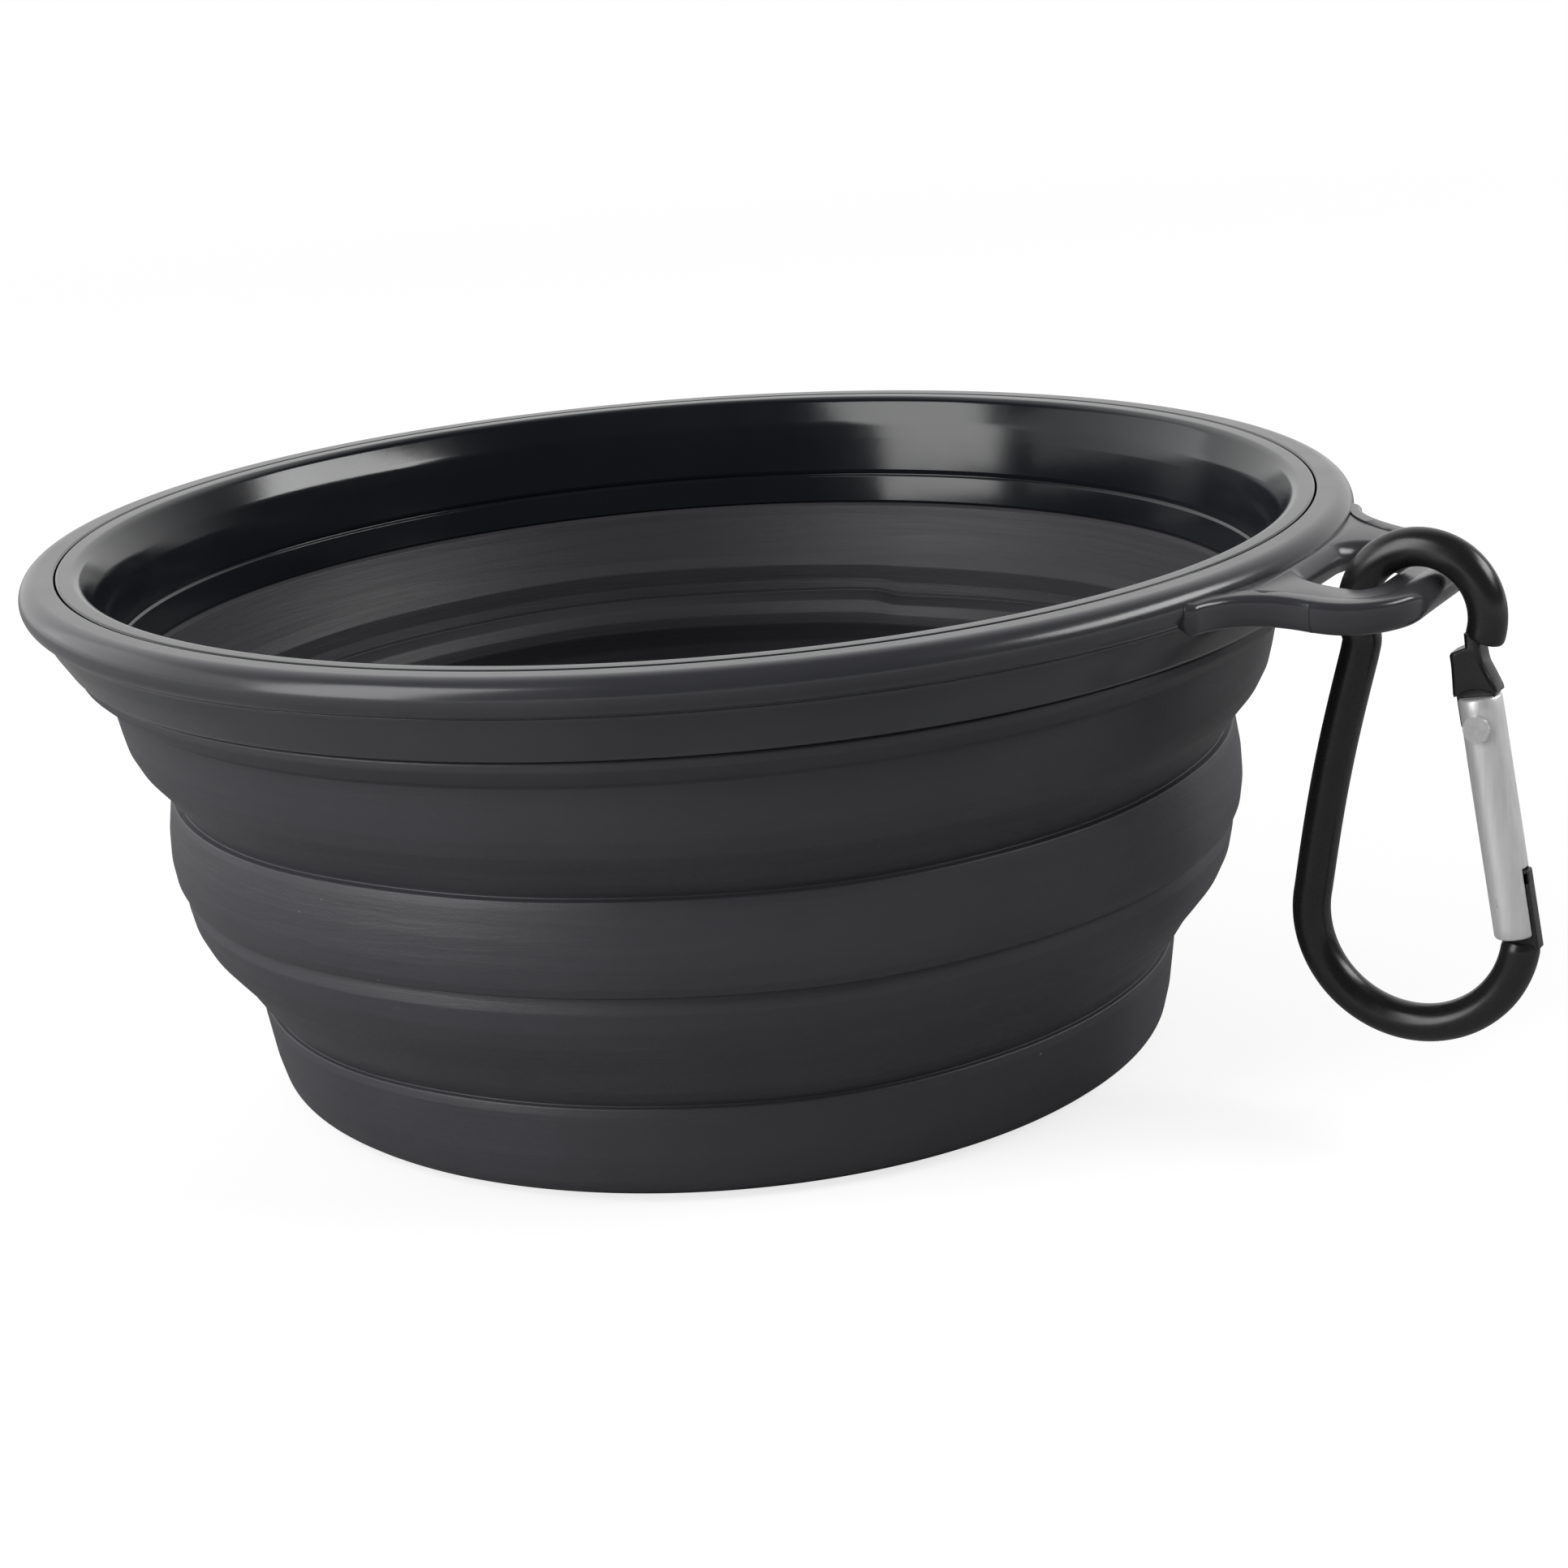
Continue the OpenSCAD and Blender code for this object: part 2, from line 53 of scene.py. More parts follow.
scene = bpy.context.scene
scene.view_settings.view_transform = "Standard"


# The camera stands at the photograph's viewing angle, with the tab 32 degrees to the right of its line.
def turned(v):
    c, s = math.cos(TAB_TURN), math.sin(TAB_TURN)
    return Vector((c * v[0] - s * v[1], s * v[0] + c * v[1], v[2]))


def make_camera():
    rise, yaw, pitch, roll = (math.radians(a) for a in (20.66, 1.39, 16.57, -4.12))
    place = turned((0, -math.cos(rise), math.sin(rise))) * CAMERA_RANGE_M
    ahead = Vector((math.sin(yaw) * math.cos(pitch), math.cos(yaw) * math.cos(pitch), -math.sin(pitch)))
    right = Vector((math.cos(yaw), -math.sin(yaw), 0))
    up = right.cross(ahead)
    cam_x = turned(math.cos(roll) * right + math.sin(roll) * up)
    cam_y = turned(-math.sin(roll) * right + math.cos(roll) * up)
    cam_z = -turned(ahead)
    data = bpy.data.cameras.new("camera")
    data.sensor_width = SENSOR_MM
    data.sensor_fit = "HORIZONTAL"
    data.lens = FOCAL_PX / IMAGE_PX * SENSOR_MM
    data.clip_start = 0.01
    data.clip_end = 100
    cam = bpy.data.objects.new("camera", data)
    scene.collection.objects.link(cam)
    cam.matrix_world = Matrix((
        (cam_x.x, cam_y.x, cam_z.x, place.x),
        (cam_x.y, cam_y.y, cam_z.y, place.y),
        (cam_x.z, cam_y.z, cam_z.z, place.z),
        (0, 0, 0, 1),
    ))
    scene.camera = cam


make_camera()


# Materials
class Tree:
    """A material's nodes, made in short calls."""

    def __init__(self, name):
        self.mat = bpy.data.materials.new(name)
        self.mat.use_nodes = True
        self.t = self.mat.node_tree
        self.bsdf = self.t.nodes["Principled BSDF"]
        self.coord = self.t.nodes.new("ShaderNodeTexCoord").outputs["Object"]

    def new(self, kind, **values):
        n = self.t.nodes.new(kind)
        for k, v in values.items():
            setattr(n, k, v)
        return n

    def link(self, a, b):
        self.t.links.new(a, b)

    def mapped(self, scale, rot=(0, 0, 0)):
        n = self.new("ShaderNodeMapping")
        n.inputs["Scale"].default_value = scale
        n.inputs["Rotation"].default_value = rot
        self.link(self.coord, n.inputs["Vector"])
        return n.outputs["Vector"]

    def noise(self, scale, detail, rough, vector=None, distortion=0):
        n = self.new("ShaderNodeTexNoise")
        n.inputs["Scale"].default_value = scale
        n.inputs["Detail"].default_value = detail
        n.inputs["Roughness"].default_value = rough
        n.inputs["Distortion"].default_value = distortion
        self.link(vector or self.coord, n.inputs["Vector"])
        return n.outputs["Fac"]

    def ramp(self, source, stops):
        """A grey ramp between two stops, each (position, grey)."""
        n = self.new("ShaderNodeValToRGB")
        for stop, (place, grey) in zip(n.color_ramp.elements, stops):
            stop.position = place
            stop.color = (grey, grey, grey, 1)
        self.link(source, n.inputs["Fac"])
        return n.outputs["Color"]

    def math(self, op, a, b):
        n = self.new("ShaderNodeMath", operation=op)
        self.link(a, n.inputs[0])
        if isinstance(b, (int, float)):
            n.inputs[1].default_value = b
        else:
            self.link(b, n.inputs[1])
        return n.outputs[0]

    def mix(self, factor, a, b):
        """Colours a and b mixed; each is a colour or a socket."""
        n = self.new("ShaderNodeMix", data_type="RGBA")
        self.link(factor, [i for i in n.inputs if i.name == "Factor" and i.type == "VALUE"][0])
        for name, v in (("A", a), ("B", b)):
            socket = [i for i in n.inputs if i.name == name and i.type == "RGBA"][0]
            if isinstance(v, tuple):
                socket.default_value = (*v, 1)
            else:
                self.link(v, socket)
        return [o for o in n.outputs if o.type == "RGBA"][0]

    def specks(self, scale, size, share):
        """Small scattered dots: 1 inside a dot, 0 elsewhere."""
        v = self.new("ShaderNodeTexVoronoi", feature="F1")
        v.inputs["Scale"].default_value = scale
        self.link(self.coord, v.inputs["Vector"])
        near = self.math("LESS_THAN", v.outputs["Distance"], size)
        sep = self.new("ShaderNodeSeparateColor")
        self.link(v.outputs["Color"], sep.inputs["Color"])
        few = self.math("LESS_THAN", sep.outputs[0], share)
        return self.math("MULTIPLY", near, few)

    def bump(self, height, strength, distance, normal=None):
        n = self.new("ShaderNodeBump")
        n.inputs["Strength"].default_value = strength
        n.inputs["Distance"].default_value = distance
        self.link(height, n.inputs["Height"])
        if normal is not None:
            self.link(normal, n.inputs["Normal"])
        return n.outputs["Normal"]

    def set(self, **values):
        for k, v in values.items():
            socket = self.bsdf.inputs[k.replace("_", " ")]
            if isinstance(v, (int, float)):
                socket.default_value = v
            else:
                self.link(v, socket)
        return self.mat


def silicone_material():
    m = Tree("silicone_charcoal")
    dark, light = (0.045, 0.0435, 0.051), (0.056, 0.0545, 0.063)
    streak_grey, scuff_grey, dust_grey = (0.075, 0.074, 0.079), (0.11, 0.11, 0.115), (0.3, 0.3, 0.3)
    # painted shade: a darker colour for the wall's inner face, where the bowl's own shadow falls
    inner_painted_shade = (0.018, 0.018, 0.021)
    mottle = m.noise(45, 5, 0.6)
    streak = m.noise(1, 5, 0.65, m.mapped((22, 22, 420)), 0.4)
    grain = m.noise(5200, 2, 0.5)
    colour = m.mix(m.ramp(mottle, [(0.3, 0.0), (0.7, 1.0)]), dark, light)
    colour = m.mix(m.ramp(streak, [(0.56, 0.0), (0.8, 0.35)]), colour, streak_grey)
    scuff = m.noise(1, 3, 0.7, m.mapped((90, 60, 260), (0.4, 0.2, 0.6)), 1.5)
    colour = m.mix(m.ramp(scuff, [(0.68, 0.0), (0.78, 0.3)]), colour, scuff_grey)
    dust = m.specks(230, 0.035, 0.05)
    fine_dust = m.specks(700, 0.05, 0.02)
    colour = m.mix(m.math("MULTIPLY", m.math("MAXIMUM", dust, fine_dust), 0.6), colour, dust_grey)
    # the wall's inner face is darkened with painted shade, standing in for the shade inside the bowl, and is
    # more matte than the outside
    out = m.new("ShaderNodeVectorMath", operation="DOT_PRODUCT")
    m.link(m.t.nodes["Texture Coordinate"].outputs["Normal"], out.inputs[0])
    m.link(m.mapped((1, 1, 0)), out.inputs[1])
    inside = m.math("LESS_THAN", out.outputs["Value"], 0.0)
    colour = m.mix(m.math("MULTIPLY", inside, 0.45), colour, inner_painted_shade)
    rough_outside = m.ramp(streak, [(0.3, 0.42), (0.75, 0.52)])
    rough_inside = m.ramp(streak, [(0.3, 0.5), (0.75, 0.6)])
    rough = m.mix(inside, rough_outside, rough_inside)
    normal = m.bump(grain, 0.25, 0.00006)
    normal = m.bump(m.noise(420, 3, 0.5), 0.12, 0.0002, normal)
    normal = m.bump(streak, 0.25, 0.0004, normal)
    return m.set(Base_Color=colour, Roughness=rough, Normal=normal, Specular_IOR_Level=0.5)


def plastic_material(name, dark, light, rough_a, rough_b, grain_strength):
    m = Tree(name)
    mottle = m.noise(60, 4, 0.5)
    colour = m.mix(m.ramp(mottle, [(0.35, 0.0), (0.65, 1.0)]), dark, light)
    dust = m.specks(260, 0.03, 0.05)
    colour = m.mix(m.math("MULTIPLY", dust, 0.4), colour, (0.2, 0.2, 0.2))
    rubbed = m.noise(90, 5, 0.6)
    rough = m.ramp(rubbed, [(0.35, rough_a), (0.75, rough_b)])
    normal = m.bump(m.noise(2600, 2, 0.5), grain_strength, 0.00003)
    normal = m.bump(m.noise(150, 3, 0.5), 0.06, 0.0003, normal)
    return m.set(Base_Color=colour, Roughness=rough, Normal=normal)


def metal_material(name, dark, light, rough_a, rough_b, along, metallic=1.0, brush=0.25):
    m = Tree(name)
    brushed = m.noise(1, 4, 0.6, m.mapped(along))
    colour = m.mix(m.ramp(brushed, [(0.3, 0.0), (0.7, 1.0)]), dark, light)
    worn = m.noise(700, 4, 0.6)
    rough = m.ramp(worn, [(0.3, rough_a), (0.7, rough_b)])
    normal = m.bump(brushed, brush, 0.00004)
    normal = m.bump(m.noise(900, 3, 0.5), 0.12 * brush, 0.00008, normal)
    return m.set(Base_Color=colour, Roughness=rough, Normal=normal, Metallic=metallic)


silicone = silicone_material()
rim_plastic = plastic_material(
    "rim_satin_plastic", (0.046, 0.0465, 0.0525), (0.056, 0.0565, 0.063), 0.2, 0.27, 0.12)
collar_plastic = plastic_material(
    "collar_gloss_plastic", (0.0095, 0.0108, 0.0138), (0.0118, 0.0132, 0.0165), 0.13, 0.19, 0.05)
clip_black = metal_material(
    "clip_black_anodised", (0.0165, 0.016, 0.017), (0.0185, 0.018, 0.019), 0.24, 0.3,
    (900, 900, 900), metallic=0.0, brush=0.04)
gate_silver = metal_material(
    "gate_satin_aluminium", (0.82, 0.82, 0.83), (0.94, 0.94, 0.95), 0.36, 0.46, (2500, 2500, 130), 0.45)
pin_steel = metal_material(
    "pin_bright_steel", (0.66, 0.66, 0.67), (0.8, 0.8, 0.81), 0.24, 0.34, (1800, 1800, 1800), 0.6)


# Shapes: profiles are in mm, with their corners in steps of these angles and the hard rings in so many steps
WALL_STEP, FINE_STEP = math.radians(7), math.radians(4)
RING_STEPS = 360


def rounded(points, step=WALL_STEP):
    """Points (r, z, fillet) in mm as a dense line, each corner turned into an arc."""
    out = []
    n = len(points)
    for i, p in enumerate(points):
        b = Vector((p[0], p[1]))
        rad = p[2] if len(p) > 2 else 0
        if i in (0, n - 1) or rad <= 0:
            out.append(b)
            continue
        a = Vector(points[i - 1][:2])
        c = Vector(points[i + 1][:2])
        u, v = (a - b), (c - b)
        lu, lv = u.length, v.length
        u.normalize()
        v.normalize()
        turn = math.pi - math.acos(max(-1, min(1, u.dot(v))))
        if turn < 1e-3:
            out.append(b)
            continue
        reach = min(rad * math.tan(turn / 2), 0.48 * lu, 0.48 * lv)
        r = reach / math.tan(turn / 2)
        mid = (u + v).normalized()
        centre = b + mid * (r / math.cos(turn / 2))
        start, end = b + u * reach, b + v * reach
        k = max(2, math.ceil(turn / step))
        a0, a1 = start - centre, end - centre
        ang = math.atan2(a0.x * a1.y - a0.y * a1.x, a0.dot(a1))
        for j in range(k + 1):
            ct, st = math.cos(ang * j / k), math.sin(ang * j / k)
            out.append(centre + Vector((a0.x * ct - a0.y * st, a0.x * st + a0.y * ct)))
    return [(q.x, q.y) for q in out]


def add_mesh(name, verts, faces, material, sharp=None):
    me = bpy.data.meshes.new(name)
    me.from_pydata(verts, [], faces)
    me.validate()
    ob = bpy.data.objects.new(name, me)
    scene.collection.objects.link(ob)
    me.materials.append(material)
    me.polygons.foreach_set("use_smooth", [True] * len(me.polygons))
    if sharp:
        me.set_sharp_from_angle(angle=math.radians(sharp))
    return ob


def lathe(profile, steps, closed=False, shift=None):
    """Vertices and faces of a profile in mm turned about Z, shifted by shift(angle, r, z) in mm."""
    n = len(profile)
    verts = []
    for i in range(steps):
        a = TAU * i / steps
        c, s = math.cos(a), math.sin(a)
        for r, z in profile:
            if shift:
                dr, dz = shift(a, r, z)
                r, z = r + dr, z + dz
            verts.append((r * c * MM, r * s * MM, z * MM))
    faces = []
    spans = n if closed else n - 1
    for i in range(steps):
        j = (i + 1) % steps
        for k in range(spans):
            m = (k + 1) % n
            faces.append((i * n + k, j * n + k, j * n + m, i * n + m))
    return verts, faces


def join(parts):
    """Several meshes' vertices and faces as one."""
    verts, faces = [], []
    for v, f in parts:
        o = len(verts)
        verts += v
        faces += [tuple(i + o for i in q) for q in f]
    return verts, faces


def fade(z, a, b):
    """0 at a and 1 at b, with a soft start and end."""
    t = max(0.0, min(1.0, (z - a) / (b - a)))
    return t * t * (3 - 2 * t)


# The soft wall is a little uneven, as moulded silicone is, most of all along its folds.
def soft_shift(a, r, z):
    g = fade(z, 1.5, 9) * (1 - fade(z, 36.5, 42))
    dr = 0.10 * math.sin(2 * a + 0.6) + 0.07 * math.sin(3 * a + 2.0 + 0.05 * z)
    dr += 0.04 * math.sin(7 * a + 0.11 * z)
    dz = 0.13 * math.sin(3 * a + 0.4) + 0.07 * math.sin(5 * a + 2.2) + 0.035 * math.sin(11 * a + 1.0)
    # a small step in the fold's line at the back
    off = math.degrees(math.atan2(math.sin(a - 1.69), math.cos(a - 1.69)))
    step = (1 / (1 + math.exp(-off / 0.5)) - 0.5) * math.exp(-(off / 16) ** 2)
    near = math.exp(-((z - 33) / 2.2) ** 2)
    return g * dr, g * dz + 0.55 * step * near


def silicone_pieces():
    split = 22.3
    outer_top = [
        (60.0, 50.0), (59.3, 46.9), (59.25, 46.28, 0.1), (60.45, 46.2, 0.3), (60.35, 45.3, 0.7),
        (58.75, 43.75, 0.5), (57.75, 43.15, 0.3), (57.5, 42.1, 0.5), (57.0, 39.6, 2.0),
        (56.55, 37.8, 1.2), (55.7, 36.1, 2.0), (54.3, 34.4, 3.0), (53.0, 32.6, 1.5),
        (52.4, 31.75, 0.3), (52.3, 31.5, 0.12), (52.95, 31.38, 0.22), (53.15, 30.6, 0.8),
        (53.55, 28.0, 4.0), (53.65, 25.4, 4.0), (53.4, 23.5, 1.0), (53.0, 22.6, 0.35), (52.35, split),
    ]
    inner_top = [
        (59.45, 50.0), (58.65, 46.3), (56.98, 42.95, 0.1), (56.9, 42.7, 0.05), (56.1, 42.7, 0.1),
        (55.75, 42.4, 0.25), (55.5, 41.5, 0.8), (54.0, 37.3, 1.2), (53.25, 36.2, 0.6), (53.2, 34.4, 0.7),
        (52.95, 33.35, 0.12), (52.95, 33.0, 0.1), (52.4, 32.75, 0.2), (51.5, 32.2, 0.5),
        (50.95, 31.0, 0.6), (50.85, 29.8, 0.7), (51.5, 27.6, 3.0), (51.6, 25.2, 3.0), (51.2, 23.2, 1.0),
        (50.55, split),
    ]
    outer_low = [
        (52.35, split), (52.4, 21.9, 0.25), (52.6, 20.9, 0.8), (52.2, 18.9, 2.0), (51.35, 17.1, 2.0),
        (50.0, 15.4, 2.5), (48.7, 13.8, 3.0), (47.2, 11.4, 2.0), (45.95, 9.85, 0.4), (45.7, 9.55, 0.1),
        (46.2, 9.42, 0.2), (46.3, 8.6, 0.8), (45.75, 4.2, 6.0), (45.1, 1.4, 2.2), (43.2, 0.0, 2.6),
        (40.6, 0.0, 0.4), (40.0, 0.35, 0.4), (4.2, 0.35, 0.3), (3.9, 0.6, 0.3), (0.0, 0.6),
    ]
    inner_low = [
        (50.55, split), (50.4, 21.8, 0.3), (50.3, 19.4, 2.0), (49.5, 17.0, 2.0), (48.1, 15.2, 2.5),
        (46.8, 13.6, 3.0), (45.5, 11.5, 2.0), (44.2, 9.7, 0.5), (43.9, 9.2, 0.4), (43.75, 8.0, 1.0),
        (43.3, 4.4, 3.0), (41.8, 2.25, 2.0), (38.0, 2.2, 2.0), (0.0, 2.2),
    ]

    def wall(outer, inner):
        return join([lathe(line, 300, shift=soft_shift) for line in (rounded(outer), rounded(inner)[::-1])])

    a = add_mesh("silicone_wall_upper", *wall(outer_top, inner_top), silicone)
    b = add_mesh("silicone_wall_lower", *wall(outer_low, inner_low), silicone)
    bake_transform(a)
    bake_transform(b)
    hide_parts("upper_cuff", "upper_fold", "middle_band")
    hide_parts("lower_fold", "base_cup")


def collar_piece():
    outline = [
        (61.3, 52.3), (61.35, 54.15, 0.0), (61.33, 54.3, 0.1), (61.15, 54.4, 0.25),
        (59.75, 54.38, 1.0), (59.15, 54.05, 1.0),
        (57.9, 51.6, 3.0), (57.55, 50.0, 5.0), (56.92, 46.4, 0.3), (56.97, 46.1, 0.2),
        (57.12, 45.88, 0.12), (56.8, 45.64, 0.12), (56.3, 42.95, 0.12), (56.36, 42.8, 0.06),
        (56.78, 42.8, 0.1), (58.5, 46.3), (59.5, 52.1),
    ]
    v, f = lathe(rounded(outline, FINE_STEP), RING_STEPS, closed=True)
    ob = add_mesh("collar_gloss_ring", v, f, collar_plastic, 50)
    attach(ob, "rim")
    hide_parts("collar_ring")


def tab_outline(count):
    """The tab's outline in mm from the rim's one side round the tip to the other, as (x, y, nx, ny, most)."""
    rim_r, half, corner, flare, tip, cap = 65.8, 14.3, 8.6, 7.9, 77.95, 1.1
    fy = half + flare
    fx = math.sqrt((rim_r + flare) ** 2 - fy ** 2)
    fa = math.atan2(fy, fx)
    cx, cy = tip - corner, half - corner
    ca = fa + 0.002
    ex, ey, tx, ty = math.cos(ca), math.sin(ca), -math.sin(ca), math.cos(ca)
    pts = []

    def add(x, y, nx, ny, most=9.0):
        pts.append((x, y, nx, ny, most))

    # a rounded start on the bead, then the flare
    for r in (62.4, 63.6):
        add(r * ex + cap * tx, r * ey + cap * ty, tx, ty, 1.0)
    for i in range(13):
        t = math.pi / 2 * i / 12
        nx, ny = math.cos(t) * tx + math.sin(t) * ex, math.cos(t) * ty + math.sin(t) * ey
        add((rim_r - cap) * ex + cap * nx, (rim_r - cap) * ey + cap * ny, nx, ny, 1.0)
    for i in range(1, count + 1):
        t = (math.pi + fa) + (math.pi / 2 * 3 - (math.pi + fa)) * i / count
        nx, ny = -math.cos(t), -math.sin(t)
        add(fx - flare * nx, fy - flare * ny, nx, ny, 1.0 + 1.6 * i / count)
    for i in range(1, 4):
        add(fx + (cx - fx) * i / 4, half, 0, 1)
    for i in range(count + 1):
        t = math.pi / 2 * (1 - i / count)
        add(cx + corner * math.cos(t), cy + corner * math.sin(t), math.cos(t), math.sin(t))
    for i in range(1, 8):
        add(tip, cy * (1 - 2 * i / 8), 1, 0)
    low = [(x, -y, nx, -ny, most) for x, y, nx, ny, most in reversed(pts[:-7])]
    return pts + low


def tab_side(y):
    """0 at the bar that carries the clip, 1 along the tab's two sides."""
    return fade(abs(y), 4.5, 9.0)


def tab_lift(x, y):
    """The tab's root rises a little to the bead, and the sides of the tab with it."""
    r = math.hypot(x, y)
    return 1.15 * (1 - fade(r, 64.3, 68.5 + 7.5 * tab_side(y))) + 0.6 * (1 - fade(r, 63.6, 65.2))


def lifted(x, y, z):
    """A point of the tab in metres, from mm and before its lift."""
    return x * MM, y * MM, (z + tab_lift(x, y)) * MM


def tab_mesh():
    mid, half_t, web_in = 50.5, 1.5, 0.18
    edge = tab_outline(18)
    n = len(edge)
    rows = []
    # full round at the clip's bar, and a small top radius with an upright face along the sides
    under, over = 1.2, 0.6
    for k in range(14):
        phi = math.pi * (k / 13 - 0.5)
        bar = (half_t * (1 - math.cos(phi)), mid + half_t * math.sin(phi))
        if k < 7:
            phi = math.pi / 2 * (k / 6 - 1)
            side = (under * (1 - math.cos(phi)), mid - half_t + under * (1 + math.sin(phi)))
        else:
            phi = math.pi / 2 * (k - 7) / 6
            side = (over * (1 - math.cos(phi)), mid + half_t - over * (1 - math.sin(phi)))
        rows.append((bar, side))
    for d, drop in ((1.9, 0.03), (2.25, 0.1), (2.6, web_in)):
        rows.append(((d, mid + half_t - drop),) * 2)
        rows.insert(0, ((d, mid - half_t + drop),) * 2)
    verts, faces = [], []
    for bar, side in rows:
        for x, y, nx, ny, most in edge:
            w = tab_side(y)
            d, z = (a * (1 - w) + b * w for a, b in zip(bar, side))
            e = min(d, most)
            verts.append(lifted(x - nx * e, y - ny * e, z))
    for r in range(len(rows) - 1):
        for i in range(n - 1):
            a = r * n + i
            faces.append((a, a + 1, a + 1 + n, a + n))
    # the slot has round ends about (sc, 4.1) and (sc, -4.1)
    sr, slot_outer, slot_end = 3.15, 72.6, 4.1
    sc = slot_outer - sr
    slot = []
    for end_y, start in ((slot_end, 0), (-slot_end, math.pi)):
        for i in range(25):
            t = start + math.pi * i / 24
            slot.append((sc + sr * math.cos(t), end_y + sr * math.sin(t), -math.cos(t), -math.sin(t)))
    m = len(slot)
    srows = []
    rad = 1.2
    for k in range(-6, 7):
        phi = math.pi / 2 * k / 6
        side = 1 if k > 0 else -1 if k < 0 else 0
        srows.append((rad * (1 - math.cos(phi)), mid + (half_t - web_in - rad) * side + rad * math.sin(phi)))
    base = len(verts)
    for d, z in srows:
        for x, y, nx, ny in slot:
            verts.append(lifted(x - nx * d, y - ny * d, z))
    for r in range(len(srows) - 1):
        for i in range(m):
            j = (i + 1) % m
            a, b = base + r * m + i, base + r * m + j
            faces.append((b, a, a + m, b + m))
    # above and below, a flat web from the slot's edge to the outline and the seam between the rings
    root_count, seam_r = 24, 61.5
    for top in (True, False):
        row = len(rows) - 1 if top else 0
        z = rows[row][0][1]
        loop = [row * n + i for i in range(n)]
        first, last = verts[loop[0]], verts[loop[-1]]
        a0 = math.atan2(last[1], last[0])
        a1 = math.atan2(first[1], first[0])
        rad = seam_r * MM
        root = []
        for i in range(1, root_count):
            t = a0 + (a1 - a0) * i / root_count
            verts.append((rad * math.cos(t), rad * math.sin(t), (z + tab_lift(seam_r, 0)) * MM))
            root.append(len(verts) - 1)
        outer = loop + root
        srow = len(srows) - 1 if top else 0
        hole = [base + srow * m + i for i in range(m)]
        tris = tessellate_polygon([[Vector(verts[i]) for i in outer], [Vector(verts[i]) for i in hole]])
        ids = outer + hole
        for t in tris:
            q = [ids[i] for i in t]
            p = [Vector(verts[i]) for i in q]
            up = (p[1] - p[0]).cross(p[2] - p[0]).z > 0
            faces.append(tuple(q if up == top else q[::-1]))
    return verts, faces


def rim_piece():
    bead_x, bead_z, bead_r = 63.2, 52.6, 1.8
    outline = [
        (61.5, 52.0), (61.5, 54.1, 0.0), (61.52, 54.28, 0.1), (61.7, 54.4, 0.25), (63.2, 54.4, 0.6),
    ]
    for k in range(1, 36):
        t = math.pi / 2 - math.pi * k / 36
        outline.append((bead_x + bead_r * math.cos(t), bead_z + bead_r * math.sin(t)))
    outline += [
        (63.72, 50.88, 0.5), (63.3, 50.45, 1.2), (62.6, 48.9, 4.0), (61.3, 46.8, 0.8), (60.95, 46.4, 0.35),
        (59.6, 46.4, 0.25), (59.45, 46.9, 0.2), (61.0, 50.9, 0.3),
    ]
    ring = lathe(rounded(outline, FINE_STEP), RING_STEPS, closed=True)
    v, f = join([ring, tab_mesh()])
    ob = add_mesh("rim_ring_with_hang_tab", v, f, rim_plastic, 50)
    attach(ob, "rim")
    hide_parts("rim_outer_ring")


# The clip's own plane: x outwards, y up, origin at the centre of its narrow end, in mm
CLIP_X, CLIP_Z = 75.3, 48.1935
ARCH_R, SIDE_R, BEND_R, ENDS_L, ROD_R = 6.0, 4.8, 9.9, 28.7, 1.75
GATE_IN = 0.65
SIDE_A = math.asin((BEND_R - SIDE_R) / ENDS_L)
SIDE_L = math.sqrt(ENDS_L ** 2 - (BEND_R - SIDE_R) ** 2)
PIVOT_S = 0.366 * SIDE_L
GATE_END_S = SIDE_L + 1.8
LEAN = math.radians(2)


def clip_place(x, y, z):
    """A point of the clip's plane in metres, in the shared frame; z is across the clip."""
    c, s = math.cos(LEAN), math.sin(LEAN)
    return Vector(((CLIP_X + x * c + y * s) * MM, -z * MM, (CLIP_Z - x * s + y * c) * MM))


def side_point(s, x=0.0, y=0.0):
    """A point beside the gate's own line, s below the narrow end's centre."""
    c, sn = math.cos(SIDE_A), math.sin(SIDE_A)
    r = SIDE_R - GATE_IN
    ox, oy = r * c + s * sn, r * sn - s * c
    return ox + x * c - y * sn, oy + x * sn + y * c


def tube_faces(rows, sides):
    """Faces between rows of points, each row one ring, with both ends closed."""
    faces = []
    for i in range(rows - 1):
        for k in range(sides):
            j = (k + 1) % sides
            faces.append((i * sides + k, i * sides + j, (i + 1) * sides + j, (i + 1) * sides + k))
    faces.append(tuple(range(sides))[::-1])
    faces.append(tuple((rows - 1) * sides + k for k in range(sides)))
    return faces


def sweep(path, radii):
    """A round bar along a path in the clip's plane, its ends closed."""
    sides = 32
    pts = [Vector(p) for p in path]
    n = len(pts)
    verts = []
    for i, p in enumerate(pts):
        d = (pts[min(i + 1, n - 1)] - pts[max(i - 1, 0)]).normalized()
        nx = Vector((-d.y, d.x))
        for k in range(sides):
            t = TAU * k / sides
            q = p + nx * (math.cos(t) * radii[i])
            verts.append(tuple(clip_place(q.x, q.y, math.sin(t) * radii[i])))
    return verts, tube_faces(n, sides)


